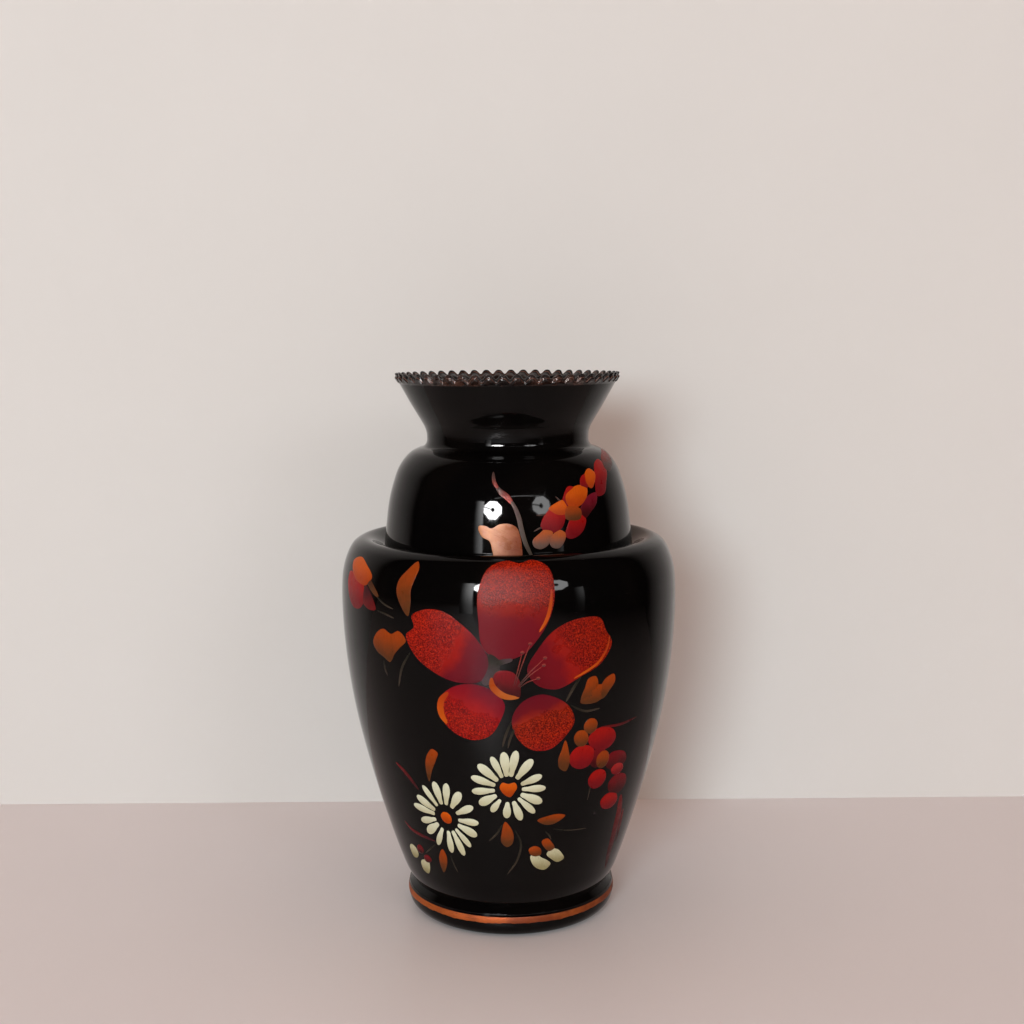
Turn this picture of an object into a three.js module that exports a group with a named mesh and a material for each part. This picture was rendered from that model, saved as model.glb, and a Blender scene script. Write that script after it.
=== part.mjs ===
// A vase of black-glazed porcelain: foot, body, stepped upper tier, flared neck and crimped rim.
// Millimetres, +Z up. The origin is the centre of the face that the vase stands on, and the
// painted side faces -Y. The vase is built as a potter builds it, from thrown sections that are
// luted together on level joints, so each section is a closed solid that meets the next one
// face to face.
import * as THREE from 'three';

// Heights of the joints and of the rim, above the standing face.
const footTop = 13;
const creaseHeight = 191.5;
const waistHeight = 246;
const lipHeight = 274.5;
const vaseHeight = 280;

// Radii of the outside.
const standingRadius = 47.5;
const footRadius = 54.4;
const baseRadius = 49.4;
const bodyRadius = 86.3;
const creaseRadius = 64.2;
const waistRadius = 41.5;
const lipRadius = 55.1;
const rimRadius = 57.5;

const wall = 4;
const recessRadius = 40;
const recessDepth = 3;

const crimpCount = 52;
const crimpLift = 1;        // how far a crest stands above the rim's mean height
const crimpReach = 0.7;     // how far a crest stands out beyond the rim's mean radius

const turnSteps = 56;
const stepsPerCrimp = 4;

const glaze = { color: 0x100d0c, roughness: 0.08, metalness: 0 };
const rimGlaze = { color: 0x2b1b14, roughness: 0.25, metalness: 0.2 };

const vase = new THREE.Group();

function addPiece(name, geometry, finish) {
  const piece = new THREE.Mesh(geometry, new THREE.MeshStandardMaterial(finish));
  piece.name = name;
  vase.add(piece);
}

// A smooth outline through [radius, height] knots, with a few steps from each knot to the next.
function smoothOutline(knots, stepsPerSpan) {
  const curve = new THREE.SplineCurve(knots.map(([radius, height]) => new THREE.Vector2(radius, height)));
  return curve.getPoints(stepsPerSpan * (knots.length - 1));
}

// The direction in which a spline through the knots runs at each knot.
function runsOf(knots) {
  const curve = new THREE.SplineCurve(knots.map(([radius, height]) => new THREE.Vector2(radius, height)));
  return knots.map((knot, index) => curve.getTangent(index / (knots.length - 1)));
}

// The inside of a wall: each knot moved in by the wall, square to the outline. The first and
// the last one lie on level joints, so they keep their heights.
function insideOf(knots) {
  const last = knots.length - 1;
  const runs = runsOf(knots);
  return knots.map(([radius, height], index) => {
    const run = runs[index];
    return index === 0 || index === last
      ? new THREE.Vector2(radius - wall / Math.abs(run.y), height)
      : new THREE.Vector2(radius - run.y * wall, height + run.x * wall);
  });
}

// A solid of revolution about Z from a closed profile that runs up its outside.
function revolve(profile) {
  const geometry = new THREE.LatheGeometry(profile, turnSteps);
  geometry.rotateX(Math.PI / 2);
  return geometry;
}

// A ring-shaped wall between an outside that runs up and the inside next to it.
function revolveWall(outside, inside) {
  return revolve([...outside, ...inside.toReversed(), outside[0].clone()]);
}

// Foot: a disc that closes the vase, with a rounded edge and a shallow recess under it, so
// that the vase stands on a flat ring.
function footGeometry() {
  const edge = smoothOutline([
    [standingRadius, 0], [51, 1.4], [53.6, 4.6], [footRadius, 9], [53.7, footTop],
  ], 2);
  return revolve([
    new THREE.Vector2(0, recessDepth),
    new THREE.Vector2(recessRadius - 2, recessDepth),
    new THREE.Vector2(recessRadius, 0),
    ...edge,
    new THREE.Vector2(0, footTop),
  ]);
}

// Body: an inverted-pear wall from the foot to a rolled shoulder, which drops into a groove and
// ends in a level seat for the tier.
function bodyGeometry() {
  const knots = [
    [baseRadius, footTop], [55.1, 22], [62.8, 43], [72.2, 74], [80, 106], [84.5, 135],
    [bodyRadius, 161], [85.5, 180], [81.6, 191.3], [77.8, 195.2], [73.6, 196.4], [69.4, 195.1],
    [creaseRadius, creaseHeight],
  ];
  const outside = smoothOutline(knots, 2);
  outside.push(new THREE.Vector2(creaseRadius - wall, creaseHeight));
  const inside = insideOf(knots);
  inside[inside.length - 1].set(creaseRadius - wall, creaseHeight - 1.5 * wall);
  return revolveWall(outside, inside);
}

// Tier: a steep bulb on the shoulder that closes in to the waist.
function tierGeometry() {
  const knots = [
    [creaseRadius, creaseHeight], [62.8, 204], [60.9, 217], [56.1, 232], [49.6, 239.9],
    [42.8, 243], [waistRadius, waistHeight],
  ];
  return revolveWall(smoothOutline(knots, 2), insideOf(knots));
}

// Neck: a collar that flares from the waist to the rim.
function neckGeometry() {
  const knots = [[waistRadius, waistHeight], [42.4, 252], [48.7, 263], [lipRadius, lipHeight]];
  return revolveWall(smoothOutline(knots, 3), insideOf(knots));
}

// Rim: a lip pinched into waves all round. Each section point has a radius, a height and its
// share of the wave, from nothing at the joint to the whole wave along the edge.
function rimGeometry() {
  const edgeHeight = vaseHeight - crimpLift;
  const section = [
    { radius: lipRadius, height: lipHeight, share: 0 },
    { radius: 56.4, height: 276.2, share: 0.4 },
    { radius: rimRadius - crimpReach, height: 278, share: 1 },
    { radius: rimRadius - 2 * crimpReach, height: edgeHeight, share: 1 },
    { radius: rimRadius - wall, height: edgeHeight, share: 1 },
    { radius: 52, height: 277.4, share: 0.5 },
    { radius: lipRadius - wall - 0.5, height: lipHeight, share: 0 },
  ];
  const turns = crimpCount * stepsPerCrimp;
  const positions = [];
  const triangles = [];
  for (let turn = 0; turn < turns; turn += 1) {
    const angle = (2 * Math.PI * turn) / turns;
    const wave = Math.cos(crimpCount * angle);
    for (const { radius, height, share } of section) {
      const reach = radius + crimpReach * wave * share;
      positions.push(reach * Math.cos(angle), reach * Math.sin(angle), height + crimpLift * wave * share);
    }
  }
  const at = (turn, point) => (turn % turns) * section.length + (point % section.length);
  for (let turn = 0; turn < turns; turn += 1) {
    for (let point = 0; point < section.length; point += 1) {
      const corners = [at(turn, point), at(turn + 1, point), at(turn + 1, point + 1), at(turn, point + 1)];
      triangles.push(corners[0], corners[1], corners[2], corners[0], corners[2], corners[3]);
    }
  }
  const geometry = new THREE.BufferGeometry();
  geometry.setAttribute('position', new THREE.Float32BufferAttribute(positions, 3));
  geometry.setIndex(triangles);
  return geometry;
}

addPiece('foot_disc', footGeometry(), glaze);
addPiece('body_wall', bodyGeometry(), glaze);
addPiece('shoulder_tier', tierGeometry(), glaze);
addPiece('neck_collar', neckGeometry(), glaze);
addPiece('crimped_rim', rimGeometry(), rimGlaze);

export default vase;
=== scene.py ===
# A black-glazed vase with a painted spray of flowers: foot, body, tier, neck and crimped rim.
# Metres, +Z up. The painted side faces -Y and the vase stands on z = 0.
import math

import bpy
import numpy as np
from mathutils import Matrix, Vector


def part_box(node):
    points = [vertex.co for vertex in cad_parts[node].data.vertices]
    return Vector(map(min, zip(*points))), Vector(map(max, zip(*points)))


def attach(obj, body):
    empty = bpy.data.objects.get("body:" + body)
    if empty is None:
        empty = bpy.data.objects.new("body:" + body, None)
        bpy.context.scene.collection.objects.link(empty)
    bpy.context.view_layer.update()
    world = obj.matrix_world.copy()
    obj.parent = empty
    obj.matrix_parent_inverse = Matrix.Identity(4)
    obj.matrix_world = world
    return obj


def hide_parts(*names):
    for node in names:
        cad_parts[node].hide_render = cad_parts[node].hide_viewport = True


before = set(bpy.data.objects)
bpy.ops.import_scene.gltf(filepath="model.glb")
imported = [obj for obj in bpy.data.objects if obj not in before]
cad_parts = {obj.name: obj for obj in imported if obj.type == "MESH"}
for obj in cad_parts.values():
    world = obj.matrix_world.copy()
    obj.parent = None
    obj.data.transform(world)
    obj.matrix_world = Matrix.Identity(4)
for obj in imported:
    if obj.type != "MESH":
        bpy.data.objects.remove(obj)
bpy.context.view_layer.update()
print("frame loaded")

millimetre = 0.001
closeBy = 1e-5               # metres; places nearer than this count as one
sharpBend = 42               # degrees; a sharper bend than this keeps a crisp edge


def fullTurn(count):
    return np.linspace(0, 2 * np.pi, count, endpoint=False)


def smoothLine(points, count, closed=False):
    # A line with no kinks through the points: cubic spans, with slopes from the neighbouring points.
    points = np.asarray(points, dtype=float)
    if closed:
        points = np.concatenate([points[-3:], points, points[:4]])
    steps = np.linalg.norm(np.diff(points, axis=0), axis=1)
    along = np.concatenate([[0.0], np.cumsum(steps)])
    slopes = np.gradient(points, along, axis=0)
    first, last = (along[3], along[-4]) if closed else (0.0, along[-1])
    places = np.linspace(first, last, count, endpoint=not closed)
    span = np.clip(np.searchsorted(along, places, side="right") - 1, 0, len(steps) - 1)
    t = ((places - along[span]) / steps[span])[:, None]
    run = steps[span][:, None]
    near = (2 * t**3 - 3 * t**2 + 1) * points[span] + (t**3 - 2 * t**2 + t) * run * slopes[span]
    far = (3 * t**2 - 2 * t**3) * points[span + 1] + (t**3 - t**2) * run * slopes[span + 1]
    return near + far


def gridMesh(name, grids, wrapRows=False, poles=False, marks=None):
    # Joins grids of places, each rows by columns, into closed skins. Columns always meet round the grid.
    # Rows meet too with wrapRows, and with poles the first row and the last row are one place each.
    grids = np.asarray(grids, dtype=float)
    pieces, rows, columns = grids.shape[:3]
    index = np.arange(pieces * rows * columns).reshape(pieces, rows, columns)
    lower = index if wrapRows else index[:, :-1]
    upper = np.roll(index, -1, axis=1) if wrapRows else index[:, 1:]
    tips = np.empty((0, 3), dtype=int)
    if poles:
        start = np.broadcast_to(index[:, 0, :1], (pieces, columns))
        end = np.broadcast_to(index[:, -1, :1], (pieces, columns))
        second = index[:, 1]
        beforeLast = index[:, -2]
        startTips = np.stack([start, np.roll(second, -1, axis=1), second], axis=-1)
        endTips = np.stack([end, beforeLast, np.roll(beforeLast, -1, axis=1)], axis=-1)
        tips = np.concatenate([startTips.reshape(-1, 3), endTips.reshape(-1, 3)])
        lower = lower[:, 1:-1]
        upper = upper[:, 1:-1]
    quads = np.stack([lower, np.roll(lower, -1, axis=2), np.roll(upper, -1, axis=2), upper], axis=-1)
    quads = quads.reshape(-1, 4)
    places = grids.reshape(-1, 3)
    a, b, c, d = (places[quads[:, corner]] for corner in range(4))
    volume = np.einsum("ij,ij->", a, np.cross(b, c)) + np.einsum("ij,ij->", a, np.cross(c, d))
    if volume < 0:
        quads = quads[:, ::-1]
        tips = tips[:, ::-1]
    used, renumbered = np.unique(np.concatenate([quads.ravel(), tips.ravel()]), return_inverse=True)
    quads = renumbered[:quads.size].reshape(-1, 4)
    tips = renumbered[quads.size:].reshape(-1, 3)
    mesh = bpy.data.meshes.new(name)
    mesh.from_pydata(places[used], [], quads.tolist() + tips.tolist())
    mesh.polygons.foreach_set("use_smooth", np.ones(len(mesh.polygons), dtype=bool))
    if marks is not None:
        corners = np.empty(len(mesh.loops), dtype=np.int32)
        mesh.loops.foreach_get("vertex_index", corners)
        spread = np.asarray(marks, dtype=float).reshape(-1, 2)[used]
        mesh.uv_layers.new(name="grain").data.foreach_set("uv", spread[corners].ravel())
    mesh.set_sharp_from_angle(angle=math.radians(sharpBend))
    mesh.update()
    piece = bpy.data.objects.new(name, mesh)
    bpy.context.scene.collection.objects.link(piece)
    return piece


def revolve(name, profile, turns=288, onAxis=False):
    # Carries a profile of (radius, height) places round the upright axis.
    bearing = fullTurn(turns)
    radius = profile[:, :1]
    height = np.broadcast_to(profile[:, 1:], (len(profile), turns))
    grid = np.stack([radius * np.cos(bearing), radius * np.sin(bearing), height], axis=-1)
    return gridMesh(name, grid[None], wrapRows=not onAxis, poles=onAxis)


def finishPiece(piece, material, slot, *replaced):
    piece.data.materials.append(material)
    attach(piece, "root")
    if replaced:
        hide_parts(*replaced)


def cadSection(nodeName):
    # The cut of a turned CAD piece on its +X half-plane: (radius, height) places, up the outside first.
    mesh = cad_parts[nodeName].data
    places = np.empty(len(mesh.vertices) * 3, dtype=np.float32)
    mesh.vertices.foreach_get("co", places)
    places = places.reshape(-1, 3).astype(float)
    ends = np.empty(len(mesh.edges) * 2, dtype=np.int32)
    mesh.edges.foreach_get("vertices", ends)
    ends = ends.reshape(-1, 2)
    onPlane = (np.abs(places[:, 1]) < closeBy) & (places[:, 0] > -closeBy)
    ends = ends[onPlane[ends].all(axis=1)]
    spots, number = np.unique(np.round(places[:, [0, 2]], 5), axis=0, return_inverse=True)
    links = number.reshape(-1)[ends]
    nextTo = {}
    for one, other in links.tolist():
        if one != other:
            nextTo.setdefault(one, set()).add(other)
            nextTo.setdefault(other, set()).add(one)
    start = min(nextTo, key=lambda spot: (len(nextTo[spot]) > 1, spots[spot][1], -spots[spot][0]))
    walk = [start]
    step = max(nextTo[start], key=lambda spot: spots[spot][1])
    while step is not None:
        walk.append(step)
        onward = [spot for spot in nextTo[step] if spot != walk[-2] and spot != start]
        step = onward[0] if onward else None
    return spots[walk]


def splitAt(section, place):
    # The run up the outside, which ends at the place, and the rest of the section.
    top = int(np.argmin(np.linalg.norm(section - place, axis=1)))
    return section[:top + 1], section[top + 1:]


footSection = cadSection("foot_disc")
rimSection = cadSection("crimped_rim")
neckSection = cadSection("neck_collar")
tierSection = cadSection("shoulder_tier")
bodySection = cadSection("body_wall")
neckOutside, neckInside = splitAt(neckSection, rimSection[0])
tierOutside, tierInside = splitAt(tierSection, neckSection[0])
bodyOutside, bodyInside = splitAt(bodySection, tierSection[0])
creaseHeight = tierSection[0][1]
waistHeight = neckSection[0][1]

# The foot's section turns up at the outer edge of its standing ring.
footLow = footSection[:, 1].min()
footRing = int(np.argmax(np.where(footSection[:, 1] < footLow + closeBy, footSection[:, 0], 0)))
footUnder, footOutside = footSection[:footRing], footSection[footRing:-1]
print("sections read:", len(footSection), len(bodySection), len(tierSection), len(neckSection))

lineSteps = {"body": 170, "upper": 150, "foot": 40, "bodyInside": 60, "tierInside": 36,
             "neckInside": 30, "lip": 48, "band": 200}
waistGap = 0.0002            # metres left clear at the waist, so that no two places there nearly meet

bodyLine = smoothLine(bodyOutside, lineSteps["body"])
upperLine = smoothLine(np.concatenate([tierOutside, neckOutside[1:]]), lineSteps["upper"])
waist = neckSection[:1]
tierLine = np.concatenate([upperLine[upperLine[:, 1] < waistHeight - waistGap], waist])
neckLine = np.concatenate([waist, upperLine[upperLine[:, 1] > waistHeight + waistGap]])

# The outside from the foot to the lip as one line, for the paint to follow.
outsideLine = np.concatenate([bodyLine, tierLine[1:], neckLine[1:]])
outsideSteps = np.linalg.norm(np.diff(outsideLine, axis=0), axis=1)
outsideAlong = np.concatenate([[0.0], np.cumsum(outsideSteps)])
outsideSlope = np.gradient(outsideLine, outsideAlong, axis=0)
outsideFacing = np.stack([outsideSlope[:, 1], -outsideSlope[:, 0]], axis=1)
outsideFacing /= np.linalg.norm(outsideFacing, axis=1)[:, None]
ridge = int(np.argmax(bodyLine[:, 1]))


def paint(red, green, blue):
    # Screen values from 0 to 255 as the linear colour that the shaders take.
    tone = np.array([red, green, blue]) / 255
    tone = np.where(tone <= 0.04045, tone / 12.92, ((tone + 0.055) / 1.055) ** 2.4)
    return (*tone, 1.0)


def startMaterial(name):
    material = bpy.data.materials.new(name)
    material.use_nodes = True
    return material, material.node_tree, material.node_tree.nodes["Principled BSDF"]


def setInputs(tree, node, inputs):
    for key, value in inputs.items():
        if isinstance(value, bpy.types.NodeSocket):
            tree.links.new(value, node.inputs[key])
        else:
            node.inputs[key].default_value = value


def addNode(tree, kind, inputs, **settings):
    node = tree.nodes.new(kind)
    for key, value in settings.items():
        setattr(node, key, value)
    setInputs(tree, node, inputs)
    return node


def objectPlace(tree):
    return addNode(tree, "ShaderNodeTexCoord", {}).outputs["Object"]


def grainMark(tree):
    return addNode(tree, "ShaderNodeUVMap", {}, uv_map="grain").outputs["UV"]


def axes(tree, vector):
    return addNode(tree, "ShaderNodeSeparateXYZ", {"Vector": vector}).outputs


def noise(tree, place, scale, detail=2.0, roughness=0.5):
    node = addNode(tree, "ShaderNodeTexNoise", {
        "Vector": place, "Scale": scale, "Detail": detail, "Roughness": roughness})
    return node.outputs["Fac"]


def stretched(tree, place, scale):
    return addNode(tree, "ShaderNodeMapping", {"Vector": place, "Scale": scale}).outputs["Vector"]


def calculate(tree, operation, *values):
    node = addNode(tree, "ShaderNodeMath", dict(enumerate(values)), operation=operation)
    return node.outputs[0]


def times(tree, one, other):
    return calculate(tree, "MULTIPLY", one, other)


def spread(tree, value, low, high, lowest=0.0, highest=1.0):
    # Turns low..high into lowest..highest, with soft ends.
    node = addNode(tree, "ShaderNodeMapRange", {
        "Value": value, "From Min": low, "From Max": high, "To Min": lowest, "To Max": highest},
        interpolation_type="SMOOTHSTEP")
    return node.outputs["Result"]


def mixTones(tree, share, one, other):
    node = addNode(tree, "ShaderNodeMix", {0: share, 6: one, 7: other}, data_type="RGBA")
    return node.outputs[2]


def toneRamp(tree, value, stops):
    node = addNode(tree, "ShaderNodeValToRGB", {"Fac": value})
    ramp = node.color_ramp
    for place, tone in stops[1:-1]:
        ramp.elements.new(place).color = tone
    ramp.elements[0].position, ramp.elements[0].color = stops[0]
    ramp.elements[-1].position, ramp.elements[-1].color = stops[-1]
    return node.outputs["Color"]


def addBump(tree, shader, height, strength, distance):
    node = addNode(tree, "ShaderNodeBump", {"Height": height, "Strength": strength, "Distance": distance})
    tree.links.new(node.outputs["Normal"], shader.inputs["Normal"])


glazeLook = {
    "black": paint(5, 4, 4),
    "brownBlack": paint(9, 6.5, 5.5),
    "gloss": 0.11,           # how strongly the glaze mirrors face on
    "smoothest": 0.035,
    "dullest": 0.075,
}


def blackGlaze():
    # Deep glossy black, with a faint brown cloud, slight unevenness and a few pinholes.
    material, tree, shader = startMaterial("blackGlaze")
    place = objectPlace(tree)
    cloud = noise(tree, place, 22, 4)
    tone = mixTones(tree, spread(tree, cloud, 0.4, 0.7), glazeLook["black"], glazeLook["brownBlack"])
    haze = noise(tree, stretched(tree, place, (1, 1, 3)), 60, 3)
    dullness = spread(tree, haze, 0.35, 0.75, glazeLook["smoothest"], glazeLook["dullest"])
    setInputs(tree, shader, {"Base Color": tone, "Roughness": dullness,
                             "Specular IOR Level": glazeLook["gloss"]})
    swell = noise(tree, place, 45, 1)
    pits = addNode(tree, "ShaderNodeTexVoronoi", {"Vector": place, "Scale": 260.0}).outputs["Distance"]
    pinholes = spread(tree, pits, 0.0, 0.12, -0.25, 0.0)
    addBump(tree, shader, calculate(tree, "ADD", swell, pinholes), 0.12, 0.0004)
    return material


rimGlazeLook = {
    "dark": paint(16, 11, 10),
    "brown": paint(58, 32, 22),
    # rose is the pale colour of the painted highlight lines along the lip's two edges
    "rose": paint(128, 88, 76),
    "lowerEdge": 0.27,       # where the two edges of the lip lie on its section, from 0 to 1
    "upperEdge": 0.56,
    "edgeHighlightWidth": 0.022,
}


def rimGlaze():
    # Black glaze with brown clouds, part own colour and part painted glint, and painted rose highlights on
    # both edges.
    material, tree, shader = startMaterial("rimGlaze")
    place = objectPlace(tree)
    section = axes(tree, grainMark(tree))["Y"]
    wearAndGlints = noise(tree, place, 300, 4, 0.6)
    patches = noise(tree, place, 26, 2)
    # painted glints: the brown clouds stand partly for glints on the lip's lustre and are partly its own
    # brown
    share = times(tree, spread(tree, wearAndGlints, 0.36, 0.66), spread(tree, patches, 0.42, 0.62))
    tone = mixTones(tree, share, rimGlazeLook["dark"], rimGlazeLook["brown"])
    # painted highlights: pale rose lines along the lip's two edges
    width = rimGlazeLook["edgeHighlightWidth"]
    gaps = [calculate(tree, "ABSOLUTE", calculate(tree, "SUBTRACT", section, rimGlazeLook[edge]))
            for edge in ("lowerEdge", "upperEdge")]
    edges = spread(tree, calculate(tree, "MINIMUM", *gaps), width, width * 0.3)
    edges = times(tree, edges, spread(tree, wearAndGlints, 0.3, 0.6, 0.15, 0.7))
    setInputs(tree, shader, {"Base Color": mixTones(tree, edges, tone, rimGlazeLook["rose"]),
                             "Roughness": spread(tree, wearAndGlints, 0.3, 0.7, 0.12, 0.35),
                             "Specular IOR Level": 0.3})
    addBump(tree, shader, wearAndGlints, 0.2, 0.0003)
    return material


gildingLook = {
    "copper": paint(150, 72, 26),
    "tarnish": paint(108, 46, 18),
    "bare": paint(18, 12, 10),
}


def gilding():
    # Brushed copper lustre, tarnished in clouds and rubbed through in streaks that run round the foot.
    material, tree, shader = startMaterial("gilding")
    place = objectPlace(tree)
    cloud = noise(tree, place, 55, 4)
    streaks = noise(tree, stretched(tree, place, (1, 1, 14)), 130, 4, 0.65)
    tone = mixTones(tree, spread(tree, cloud, 0.38, 0.68), gildingLook["copper"], gildingLook["tarnish"])
    rubbed = spread(tree, streaks, 0.6, 0.7)
    setInputs(tree, shader, {"Base Color": mixTones(tree, rubbed, tone, gildingLook["bare"]),
                             "Metallic": spread(tree, rubbed, 0, 1, 0.2, 0.0),
                             "Roughness": spread(tree, streaks, 0.3, 0.7, 0.42, 0.6),
                             "Specular IOR Level": 0.12})
    addBump(tree, shader, streaks, 0.2, 0.0002)
    return material


vesselLook = {
    "turns": 288,
    "ledgeRound": 0.0002,    # rounding of the foot's upper edge
    "slopeHigh": 0.0027,     # how far up the body the sloping top of the foot reaches
    "slopeBlend": 0.0012,    # the length over which the slope runs into the body
    "slopeSunk": 0.0003,     # how far its end lies inside the body
}

blackGlazed = blackGlaze()


def makeFoot():
    # Revolves the foot's section, with its outer edge smoothed and its top edge rounded over.
    edge = smoothLine(footOutside, lineSteps["foot"])
    edge[:, 1] = np.maximum(edge[:, 1], footLow)
    size = vesselLook["ledgeRound"]
    corner = edge[-1].copy()
    kept = edge[edge[:, 1] < corner[1] - size]
    turn = np.linspace(0, np.pi / 2, 6)[:, None]
    start = kept[-1]
    bend = np.concatenate([corner[0] - size + (start[0] - corner[0] + size) * np.cos(turn),
                           corner[1] - size + size * np.sin(turn)], axis=1)
    # The foot's top slopes up to the body's outside, and then follows the body down to its joint.
    high = corner[1] + vesselLook["slopeHigh"]
    heights = np.array([high, high + vesselLook["slopeBlend"]])
    onBody = np.stack([np.interp(heights, bodyLine[:ridge, 1], bodyLine[:ridge, 0]), heights], axis=1)
    onBody[1, 0] -= vesselLook["slopeSunk"]
    ledge = bend[-1:]
    share = np.linspace(0, 1, 9)[1:, None]
    slope = np.concatenate([ledge + share * (onBody[0] - ledge), onBody[1:]])
    down = np.linspace(heights[1], corner[1], 6)[1:]
    sunk = np.interp(down, bodyLine[:ridge, 1], bodyLine[:ridge, 0]) - vesselLook["slopeSunk"]
    beside = np.stack([sunk, down], axis=1)
    across = np.linspace(beside[-1, 0], 0, 12)[1:, None]
    inward = np.concatenate([across, np.full_like(across, corner[1])], axis=1)
    top = np.concatenate([slope, beside, inward])
    profile = np.concatenate([footUnder, kept, bend[1:], top])
    foot = revolve("foot", profile, vesselLook["turns"], onAxis=True)
    finishPiece(foot, blackGlazed, "black_glaze", "foot_disc")


def makeWall(name, outside, inside, node):
    # A closed ring-shaped wall: up the smooth outside, then down the inside.
    profile = np.concatenate([outside, inside])
    wall = revolve(name, profile, vesselLook["turns"])
    finishPiece(wall, blackGlazed, "black_glaze", node)


makeFoot()
bodySeat = bodyInside[:1]    # where the tier stands, which stays a corner
bodyRoom = smoothLine(bodyInside[1:], lineSteps["bodyInside"])
makeWall("body", bodyLine, np.concatenate([bodySeat, bodyRoom]), "body_wall")
makeWall("upperTier", tierLine, smoothLine(tierInside, lineSteps["tierInside"]), "shoulder_tier")
makeWall("neck", neckLine, smoothLine(neckInside, lineSteps["neckInside"]), "neck_collar")
print("vessel made")


rimLook = {
    "crimps": 52,
    "stepsPerCrimp": 14,
    "rise": 0.0011,          # how far a crest stands above the mean edge
    "reach": 0.0007,         # how far a crest stands out beyond the mean edge
    "lean": 0.3,             # how far each wave leans along the rim, as a share of its length
    "roundness": 0.2,        # how much fuller the crests are than the valleys
    # Each place is (out, up) in millimetres, and its share of the wave. The lip's are from the mean edge,
    # the foot's are from the joint outside, and the throat's are from the joint inside.
    "lipFoot": (0.6, 0.8, 0.2),
    "throat": (1.2, 1.8, 0.4),
    "lip": [(-0.3, -3.0, 0.8), (0, -2.4, 1), (-0.5, -1.4, 1), (-0.1, -0.4, 1), (-0.6, 0, 1),
            (-1.4, -0.2, 1), (-2.1, -1.2, 0.9)],
}


def makeRim():
    # A lip section carried round the mouth. Each place on it has a share of the wave, from nothing at the
    # joint with the neck to the whole wave along the edge, and the wave leans over as it nears the edge.
    low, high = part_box("crimped_rim")
    joint = rimSection[0]
    radius = high.x - rimLook["reach"]
    top = high.z - rimLook["rise"]
    inner = rimSection[rimSection[:, 1] < joint[1] + closeBy][:, 0].min()
    mm = millimetre

    def placed(fromOut, fromUp, places):
        return [(fromOut + out * mm, fromUp + up * mm, share) for out, up, share in places]

    start = placed(joint[0], joint[1], [(0, 0, 0), rimLook["lipFoot"]])
    end = placed(inner, joint[1], [rimLook["throat"], (0, 0, 0)])
    section = np.array(start + placed(radius, top, rimLook["lip"]) + end)
    section[:, 2] *= mm      # brings the share to the scale of the places while the line is smoothed
    section = smoothLine(section, lineSteps["lip"])
    section[:, 2] = np.clip(section[:, 2] / mm, 0, 1)
    section[:, :2] = np.maximum(section[:, :2], (inner, joint[1]))
    turns = rimLook["crimps"] * rimLook["stepsPerCrimp"]
    bearing = fullTurn(turns)
    share = section[:, 2:]
    phase = rimLook["crimps"] * bearing + 2 * np.pi * rimLook["lean"] * share
    wave = np.cos(phase) + rimLook["roundness"] * (1 - np.cos(2 * phase))
    out = section[:, :1] + rimLook["reach"] * wave * share
    up = section[:, 1:2] + rimLook["rise"] * wave * share
    grid = np.stack([out * np.cos(bearing), out * np.sin(bearing), up], axis=-1)
    marks = np.stack([np.broadcast_to(bearing, out.shape),
                      np.broadcast_to(np.linspace(0, 1, len(section))[:, None], out.shape)], axis=-1)
    rim = gridMesh("crimpedRim", grid[None], wrapRows=True, marks=marks)
    finishPiece(rim, rimGlaze(), "rim_glaze", "crimped_rim")


makeRim()
print("rim made")


bandLook = {
    "lowEdge": 8.3,          # millimetres above the table
    "highEdge": 11.4,
    "unevenness": 0.13,
    "thickness": 0.10,
    "squareness": 0.35,      # the lower, the flatter the face of the band
    "turns": 576,
    "sectionSteps": 20,
    "waves": [(7, 1.0, 0), (19, 0.7, 1), (43, 0.6, 2), (97, 0.5, 4)],    # (waves round, size, start)
}


def makeBand():
    # A thin ring on the foot's outer face. Its lower edge wanders by a sum of waves round the foot.
    edge = smoothLine(footOutside, lineSteps["band"])
    bearing = fullTurn(bandLook["turns"])
    waves = sum(size * np.sin(count * bearing + start) for count, size, start in bandLook["waves"])
    bottom = (bandLook["lowEdge"] + bandLook["unevenness"] * waves) * millimetre
    height = bandLook["highEdge"] * millimetre
    around = fullTurn(bandLook["sectionSteps"])[:, None]
    share = 0.5 - 0.5 * np.cos(around)
    up = bottom + (height - bottom) * share
    face = np.sign(np.sin(around)) * np.abs(np.sin(around)) ** bandLook["squareness"]
    out = np.interp(up, edge[:, 1], edge[:, 0]) + face * bandLook["thickness"] * millimetre
    grid = np.stack([out * np.cos(bearing), out * np.sin(bearing), up], axis=-1)
    band = gridMesh("gildedBand", grid[None], wrapRows=True)
    finishPiece(band, gilding(), "gilding")


makeBand()
print("band made")


paintLook = {
    "bodyRadius": 80.0,      # millimetres; distances across the body are measured round this radius
    "tierRadius": 62.0,
    "depth": 0.07,           # millimetres of paint in one layer
    "layerStep": 0.035,      # how much higher each later layer stands
    "edgeSharpness": 10,     # the higher, the flatter the top and the squarer the edge
    "bedding": 0.08,         # how far the paint's underside sits inside the glaze
    "tipDepth": 0.02,        # how far the tips of a stroke sink into the glaze
    "sectionSteps": 14,      # places round a stroke
}


def onSheet(points, zone):
    # From (across, height) in millimetres to (across, distance up the outline) in metres.
    points = np.asarray(points, dtype=float) * millimetre
    if zone == "body":
        along = np.interp(points[:, 1], bodyLine[:ridge + 1, 1], outsideAlong[:ridge + 1])
    else:
        first = len(bodyLine) - 1
        along = np.interp(points[:, 1], outsideLine[first:, 1], outsideAlong[first:])
        along += np.minimum(points[:, 1] - creaseHeight, 0)
    return np.stack([points[:, 0], along], axis=1)


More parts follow.
